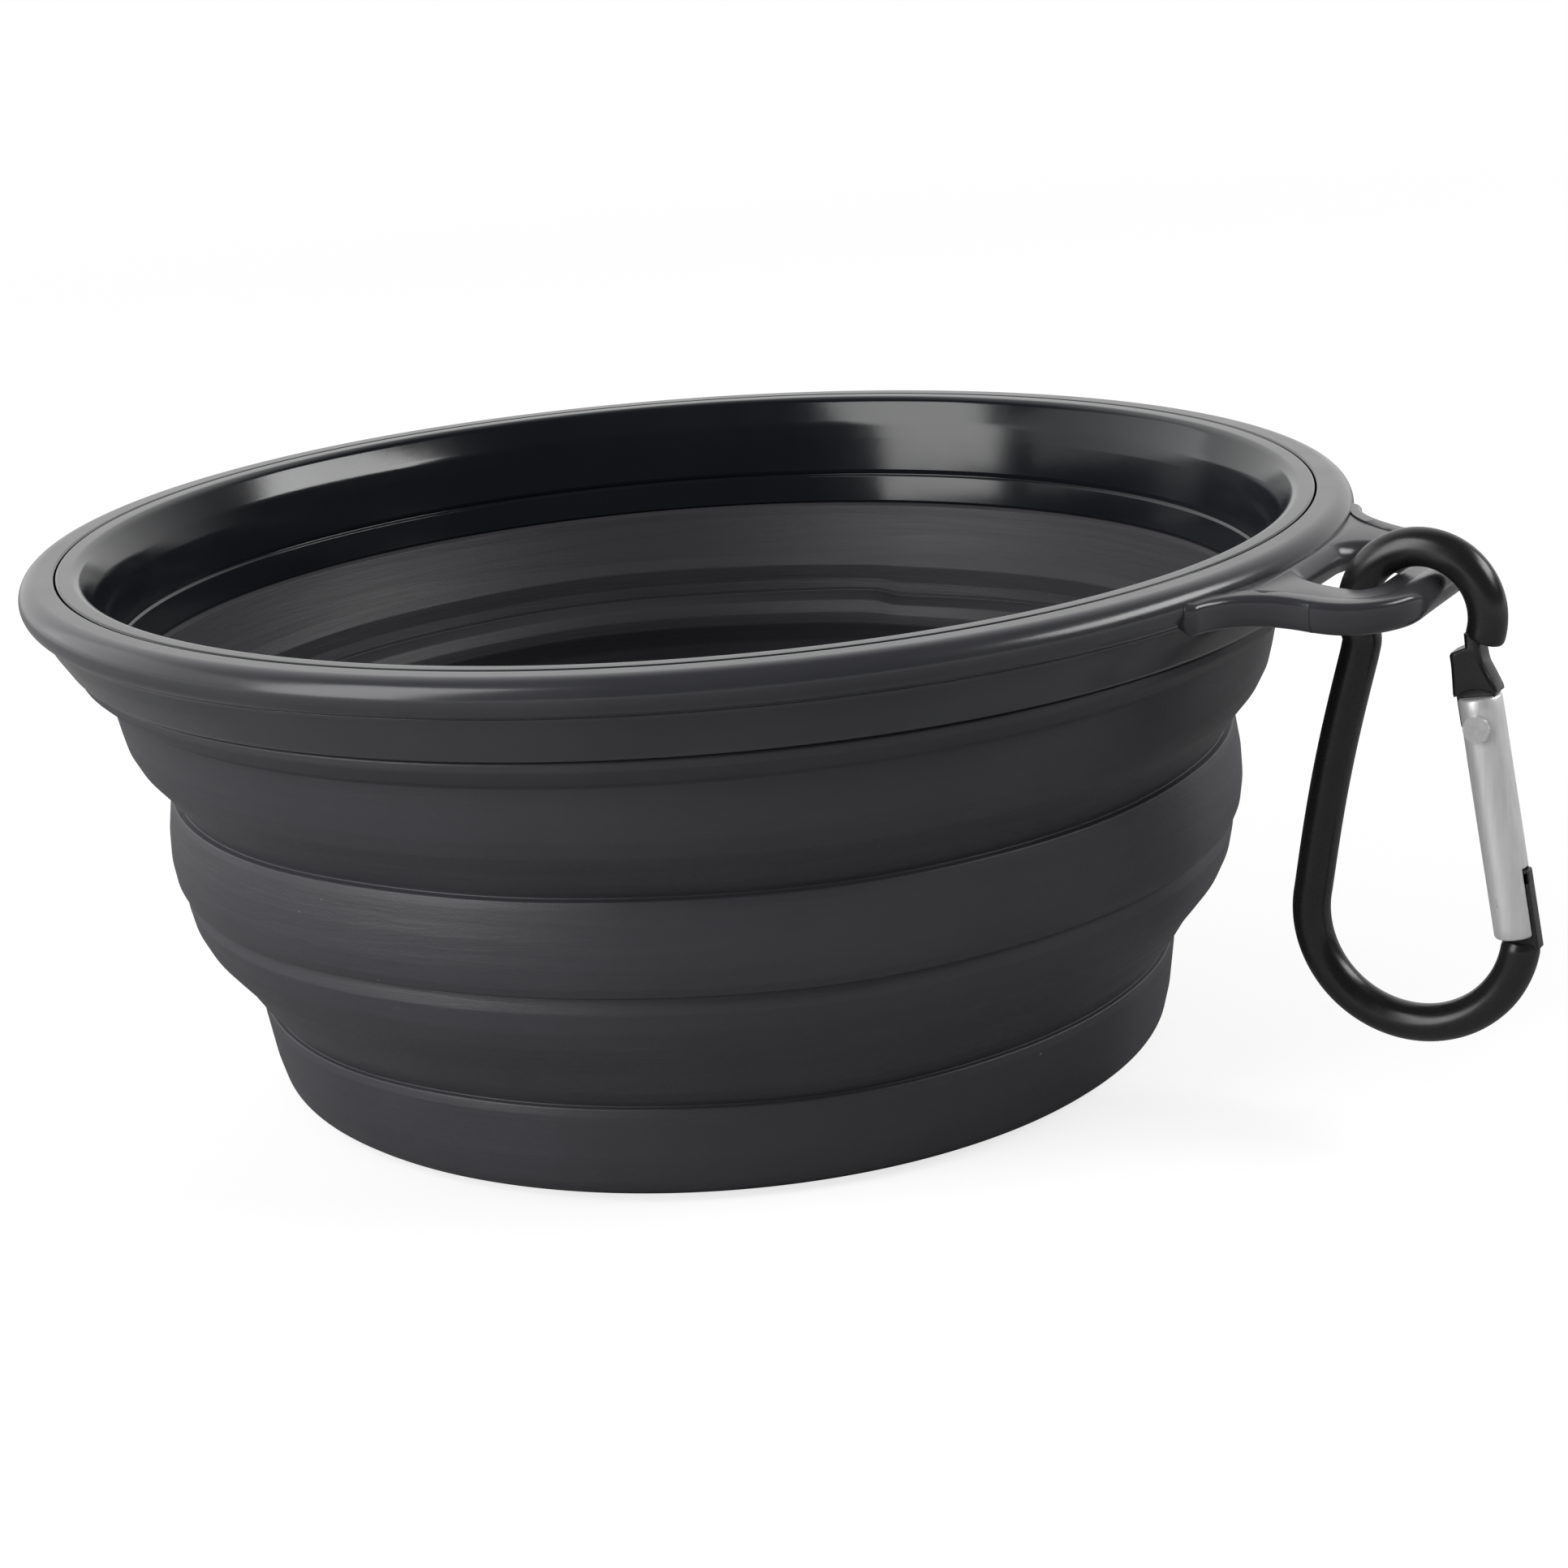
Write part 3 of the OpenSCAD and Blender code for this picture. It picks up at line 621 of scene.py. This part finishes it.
def rod_path():
    """The rod's line from the nose over the narrow end, down the spine and round to the latch."""
    def arch(t):
        return ARCH_R * math.cos(t), ARCH_R * math.sin(t)

    def spine(s, out=0.0):
        r = SIDE_R + out
        return -(r * c + s * sn), r * sn - s * c

    # the nose's first stations stand close together, where its end is rounded
    nose = math.radians(-18)
    path = [arch(nose + arc / ARCH_R) for arc in (0.0, 0.08, 0.22, 0.45, 0.8)]
    c, sn = math.cos(SIDE_A), math.sin(SIDE_A)
    elbow_s = math.sqrt(ARCH_R ** 2 - SIDE_R ** 2)
    low = math.pi + math.acos(SIDE_R / ARCH_R) - SIDE_A
    reach = 0.62
    for i in range(1, 49):
        path.append(arch(nose + 0.8 / ARCH_R + (low - reach / ARCH_R - nose - 0.8 / ARCH_R) * i / 48))
    # a soft elbow between the arch and the spine
    corner = Vector(arch(low))
    start, end = Vector(path[-1]), Vector(spine(elbow_s + reach))
    for i in range(1, 8):
        t = i / 8
        q = start * (1 - t) ** 2 + corner * 2 * t * (1 - t) + end * t * t
        path.append((q.x, q.y))
    for i in range(0, 24):
        s = elbow_s + reach + (SIDE_L - elbow_s - reach) * i / 24
        path.append(spine(s, 0.38 * math.sin(math.pi * max(0.0, s - 5) / (SIDE_L - 5))))
    lx, ly = side_point(GATE_END_S + 0.25)
    for i in range(91):
        t = math.pi - SIDE_A + (math.pi + 2 * SIDE_A) * i / 90
        x, y = BEND_R * math.cos(t), -ENDS_L + BEND_R * math.sin(t)
        if t > 1.6 * math.pi and (y - ly) * c - (x - lx) * sn > -0.03:
            break
        path.append((x, y))
    return path


def bar_section(stations, corner=0.5):
    """A flattened bar beside the gate's line; each station is (s, inner, outer, half thickness)."""
    per, flat = 5, 8
    verts, faces = [], []
    for s, inner, outer, half in stations:
        c = min(corner, (outer - inner) / 2 - 0.01, half - 0.01)
        x0, x1 = outer - c, inner + c
        around = []
        # each flat, above and below, has points of its own between its two corners
        for cx, cz, a0, xa, xb, z in ((x0, half - c, 0, x0, x1, half), (x1, half - c, 90, x0, x1, None),
                                      (x1, c - half, 180, x1, x0, -half), (x0, c - half, 270, x1, x0, None)):
            for k in range(per + 1):
                t = math.radians(a0 + 90 * k / per)
                around.append((cx + c * math.cos(t), cz + c * math.sin(t)))
            if z is not None:
                around += [(xa + (xb - xa) * k / (flat + 1), z) for k in range(1, flat + 1)]
        for across, z in around:
            x, y = side_point(s(across) if callable(s) else s, across)
            verts.append(tuple(clip_place(x, y, z)))
    g = per + 1
    m = 4 * g + 2 * flat
    for i in range(len(stations) - 1):
        for k in range(m):
            j = (k + 1) % m
            faces.append((i * m + j, i * m + k, (i + 1) * m + k, (i + 1) * m + j))
    # each end is closed by strips across its flats, so that a hollow end keeps its form
    upper = list(range(g - 1, g + flat + 1))
    lower = [3 * g + 2 * flat] + list(range(3 * g + 2 * flat - 1, 3 * g + flat - 2, -1))
    caps = [tuple(range(3 * g + 2 * flat, m)) + tuple(range(g)), tuple(range(g + flat, 3 * g + flat))]
    caps += [(upper[i], upper[i + 1], lower[i + 1], lower[i]) for i in range(flat + 1)]
    end = (len(stations) - 1) * m
    faces += caps + [tuple(end + k for k in c)[::-1] for c in caps]
    return verts, faces


def disc(s, radius, half):
    """A disc in the clip's plane, centred on the gate's line, its rim broken by a small edge."""
    sides, edge = 48, 0.12
    verts = []
    rows = ((radius - edge, -half), (radius, -half + edge), (radius, half - edge), (radius - edge, half))
    for rad, z in rows:
        for k in range(sides):
            t = TAU * k / sides
            px, py = side_point(s, rad * math.cos(t), rad * math.sin(t))
            verts.append(tuple(clip_place(px, py, z)))
    return verts, tube_faces(len(rows), sides)


def clip_body_piece():
    path = rod_path()
    radii = [ROD_R] * len(path)
    # both ends of the rod are rounded a little
    for i, drop in ((0, 0.32), (1, 0.15), (2, 0.04), (-1, 0.25), (-2, 0.06)):
        radii[i] -= drop

    # the neck ends in a hollow of 3.35 mm radius round the gate's hinge
    def hollow(x, more=0.0):
        return PIVOT_S - math.sqrt((3.35 + more) ** 2 - min(abs(x), 3.0) ** 2)

    neck = bar_section([
        (1.95, -0.3, 1.05, 1.3), (3.2, -0.35, 1.05, 1.38), (3.45, -1.3, 1.05, 1.4), (3.6, -1.72, 1.05, 1.4),
        (3.8, -1.85, 1.05, 1.4), (4.5, -1.85, 1.08, 1.4), (4.9, -1.87, 1.15, 1.4), (5.9, -1.95, 1.52, 1.4),
        (lambda x: hollow(x, 0.35), -2.08, 1.95, 1.4), (lambda x: hollow(x, 0.1), -2.06, 1.97, 1.38),
        (hollow, -1.95, 1.88, 1.26),
    ])
    half = 0.75
    lug = disc(PIVOT_S, 1.6, half)
    web = bar_section([(PIVOT_S - 3.7, -1.9, 1.6, half), (PIVOT_S - 0.1, -1.9, 1.6, half),
                       (PIVOT_S + 1.1, -1.5, 1.1, half)], 0.1)
    blade = bar_section([(GATE_END_S - 6.1, 0.3, 2.05, 0.72), (GATE_END_S - 5.9, 0.3, 2.1, half),
                         (GATE_END_S + 1.2, 0.3, 2.1, half)], 0.12)
    hook = bar_section([(GATE_END_S - 6.13, -0.8, 2.0, 0.7), (GATE_END_S - 6.0, -0.9, 2.1, half),
                        (GATE_END_S - 4.95, -0.9, 2.1, half), (GATE_END_S - 4.86, -0.8, 2.0, 0.7)], 0.12)
    v, f = join([sweep(path, radii), neck, lug, web, blade, hook])
    ob = add_mesh("clip_body_rod", v, f, clip_black, 40)
    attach(ob, "carabiner")
    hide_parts("carabiner_body")


def gate_piece():
    """The gate is a turned bar with a fork slot above and a latch slot below, its edges broken."""
    sides, rad = 96, 1.95
    top, bottom = PIVOT_S - 2.6, GATE_END_S
    slot_half, fork_wall, latch_wall = 0.9, 1.66, -1.05
    fork_low, latch_top = PIVOT_S + 2.8, bottom - 6.4
    bm = bmesh.new()
    stations = [(top, rad - 0.25), (top + 0.08, rad - 0.1), (top + 0.25, rad)]
    stations += [(top + 0.25 + (bottom - top - 0.5) * i / 20, rad) for i in range(1, 20)]
    stations += [(bottom - 0.25, rad), (bottom - 0.08, rad - 0.1), (bottom, rad - 0.25)]
    rings = []
    for s, r in stations:
        ring = []
        for k in range(sides):
            t = TAU * k / sides
            x, y = side_point(s, r * math.cos(t))
            ring.append(bm.verts.new(clip_place(x, y, r * math.sin(t))))
        rings.append(ring)
    for a, b in zip(rings, rings[1:]):
        for k in range(sides):
            j = (k + 1) % sides
            bm.faces.new((a[j], a[k], b[k], b[j]))
    bm.faces.new(rings[0])
    bm.faces.new(rings[-1][::-1])
    bmesh.ops.recalc_face_normals(bm, faces=bm.faces)
    me = bpy.data.meshes.new("clip_gate_bar")
    bm.to_mesh(me)
    bm.free()
    ob = bpy.data.objects.new("clip_gate_bar", me)
    scene.collection.objects.link(ob)

    def cutter(s0, s1, x0, x1, z):
        """A box that cuts a slot: from s0 to s1 along the gate, x0 to x1 across it and z to each side."""
        verts = []
        for s in (s0, s1):
            for x in (x0, x1):
                for zz in (-z, z):
                    px, py = side_point(s, x)
                    verts.append(tuple(clip_place(px, py, zz)))
        faces = [(0, 1, 3, 2), (4, 6, 7, 5), (0, 4, 5, 1), (2, 3, 7, 6), (0, 2, 6, 4), (1, 5, 7, 3)]
        cm = bpy.data.meshes.new("cut")
        cm.from_pydata(verts, [], faces)
        cb = bmesh.new()
        cb.from_mesh(cm)
        bmesh.ops.recalc_face_normals(cb, faces=cb.faces)
        cb.to_mesh(cm)
        cb.free()
        c = bpy.data.objects.new("cut", cm)
        scene.collection.objects.link(c)
        return c

    cuts = [cutter(top - 1, fork_low, -4, fork_wall, slot_half),
            cutter(latch_top, bottom + 1, latch_wall, 4, slot_half)]
    for c in cuts:
        m = ob.modifiers.new("cut", "BOOLEAN")
        m.operation = "DIFFERENCE"
        m.solver = "EXACT"
        m.object = c
    bev = ob.modifiers.new("edges", "BEVEL")
    bev.width = 0.00013
    bev.segments = 2
    bev.limit_method = "ANGLE"
    bev.angle_limit = math.radians(35)
    bpy.context.view_layer.update()
    done = bpy.data.meshes.new_from_object(ob.evaluated_get(bpy.context.evaluated_depsgraph_get()))
    ob.modifiers.clear()
    ob.data = done
    for c in cuts:
        bpy.data.objects.remove(c)
    done.materials.clear()
    done.materials.append(gate_silver)
    done.polygons.foreach_set("use_smooth", [True] * len(done.polygons))
    done.set_sharp_from_angle(angle=math.radians(32))
    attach(ob, "gate")
    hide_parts("carabiner_gate")


silicone_pieces()
collar_piece()
rim_piece()
clip_body_piece()
gate_piece()

for name in ("gate_rivet", "latch_pin", "spring_plunger", "gate_spring"):
    me = nodes[name].data
    me.materials.clear()
    me.materials.append(pin_steel)


# Light: three softboxes and a pale studio that is darker on the camera's side
def softbox(name, azimuth, elevation, distance, width, height, radiance):
    """An area light of even brightness that looks at the middle of the bowl."""
    aim = Vector((0, 0, 0.03))
    a, e = math.radians(azimuth), math.radians(elevation)
    place = Vector((math.cos(a) * math.cos(e), math.sin(a) * math.cos(e), math.sin(e))) * distance
    data = bpy.data.lights.new(name, "AREA")
    data.shape = "RECTANGLE"
    data.size, data.size_y = width, height
    data.energy = radiance * math.pi * width * height
    ob = bpy.data.objects.new(name, data)
    scene.collection.objects.link(ob)
    ob.location = place
    ob.rotation_euler = (aim - place).to_track_quat("-Z", "Y").to_euler()


softbox("softbox_window", -117, 30, 0.9, 0.46, 0.9, 4.9)
softbox("softbox_left_wide", -165, 22, 1.0, 1.0, 0.6, 0.8)
softbox("softbox_right", 25, 34, 0.9, 0.62, 0.26, 8.0)


def ray_share(t, *kinds):
    """1 for rays of the named kinds, which see the white backdrop, and 0 for the others."""
    path = t.nodes.new("ShaderNodeLightPath")
    share = path.outputs[kinds[0]]
    for kind in kinds[1:]:
        both = t.nodes.new("ShaderNodeMath")
        both.operation = "MAXIMUM"
        t.links.new(share, both.inputs[0])
        t.links.new(path.outputs[kind], both.inputs[1])
        share = both.outputs[0]
    return share


def smooth_range(t, source, from_min, from_max, to_min, to_max):
    """The source's value moved softly from one range into another."""
    n = t.nodes.new("ShaderNodeMapRange")
    n.interpolation_type = "SMOOTHSTEP"
    for k, v in (("From Min", from_min), ("From Max", from_max), ("To Min", to_min), ("To Max", to_max)):
        n.inputs[k].default_value = v
    t.links.new(source, n.inputs["Value"])
    return n.outputs[0]


def shader_mix(t, factor, a, b):
    """Shader a where the factor is 0 and b where it is 1."""
    n = t.nodes.new("ShaderNodeMixShader")
    for i, source in enumerate((factor, a, b)):
        t.links.new(source, n.inputs[i])
    return n.outputs[0]


def studio_world():
    world = bpy.data.worlds.new("studio")
    scene.world = world
    world.use_nodes = True
    t = world.node_tree
    t.nodes.clear()
    out = t.nodes.new("ShaderNodeOutputWorld")
    coord = t.nodes.new("ShaderNodeTexCoord")
    back = t.nodes.new("ShaderNodeVectorMath")
    back.operation = "DOT_PRODUCT"
    away = math.radians(128)
    back.inputs[1].default_value = (math.cos(away), math.sin(away), -0.1)
    t.links.new(coord.outputs["Generated"], back.inputs[0])
    lit = t.nodes.new("ShaderNodeBackground")
    lit.inputs["Color"].default_value = (1, 1, 1, 1)
    t.links.new(smooth_range(t, back.outputs["Value"], 0.0, 0.85, 0.03, 1.0), lit.inputs["Strength"])
    white = t.nodes.new("ShaderNodeBackground")
    white.inputs["Color"].default_value = (1, 1, 1, 1)
    white.inputs["Strength"].default_value = 1
    # glossy rays see the studio's own light, which is as white as the backdrop behind the object
    seen = ray_share(t, "Is Camera Ray", "Is Transmission Ray")
    t.links.new(shader_mix(t, seen, lit.outputs[0], white.outputs[0]), out.inputs["Surface"])


def floor_piece():
    # a wide floor, set 0.2 mm below the base
    bpy.ops.mesh.primitive_circle_add(vertices=96, radius=12, fill_type="NGON", location=(0, 0, -0.0002))
    ob = bpy.context.object
    ob.name = "studio_floor"
    mat = bpy.data.materials.new("studio_floor_white")
    mat.use_nodes = True
    t = mat.node_tree
    bsdf = t.nodes["Principled BSDF"]
    bsdf.inputs["Base Color"].default_value = (0.4, 0.4, 0.4, 1)
    bsdf.inputs["Roughness"].default_value = 0.9
    bsdf.inputs["Specular IOR Level"].default_value = 0.1
    out = t.nodes["Material Output"]
    glow = t.nodes.new("ShaderNodeEmission")
    glow.inputs["Strength"].default_value = 0.76
    add = t.nodes.new("ShaderNodeAddShader")
    t.links.new(bsdf.outputs[0], add.inputs[0])
    t.links.new(glow.outputs[0], add.inputs[1])
    lit = ray_share(t, "Is Camera Ray", "Is Transmission Ray")
    near = shader_mix(t, lit, bsdf.outputs[0], add.outputs[0])
    # far from the object the floor turns into the white backdrop
    coord = t.nodes.new("ShaderNodeTexCoord")
    length = t.nodes.new("ShaderNodeVectorMath")
    length.operation = "LENGTH"
    t.links.new(coord.outputs["Object"], length.inputs[0])
    far = smooth_range(t, length.outputs["Value"], 0.25, 0.9, 0.0, 1.0)
    white = t.nodes.new("ShaderNodeEmission")
    white.inputs["Strength"].default_value = 1
    seen = t.nodes.new("ShaderNodeMath")
    seen.operation = "MULTIPLY"
    t.links.new(ray_share(t, "Is Camera Ray", "Is Glossy Ray", "Is Transmission Ray"), seen.inputs[0])
    t.links.new(far, seen.inputs[1])
    t.links.new(shader_mix(t, seen.outputs[0], near, white.outputs[0]), out.inputs["Surface"])
    ob.data.materials.append(mat)


studio_world()
floor_piece()
